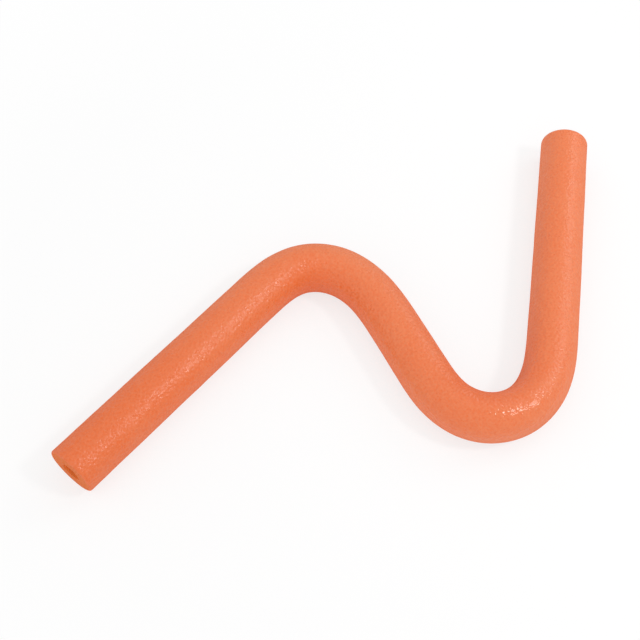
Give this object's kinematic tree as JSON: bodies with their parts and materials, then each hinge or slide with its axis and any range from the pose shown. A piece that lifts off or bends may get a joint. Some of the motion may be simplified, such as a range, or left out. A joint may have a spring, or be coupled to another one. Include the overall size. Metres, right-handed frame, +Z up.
{
  "type": "pool noodle",
  "caption": "Buoyant foam tube with an open bore, bent into a flat S and lying on the floor, for swimming practice and play.",
  "frame": {"origin": "on the floor, below the middle of the noodle's box", "axes": "+Z up from the floor, +Y along the straight right leg, towards its cut end, +X from the left leg's side to the right leg's side"},
  "size_m": [0.5952, 0.6248, 0.0666],
  "materials": {
    "foam_skin": "satin orange skin of closed-cell polyethylene foam with a fine orange-peel grain, bare of any print"
  },
  "bodies": {
    "root": {"foam_noodle": "foam_skin"}
  },
  "joints": []
}
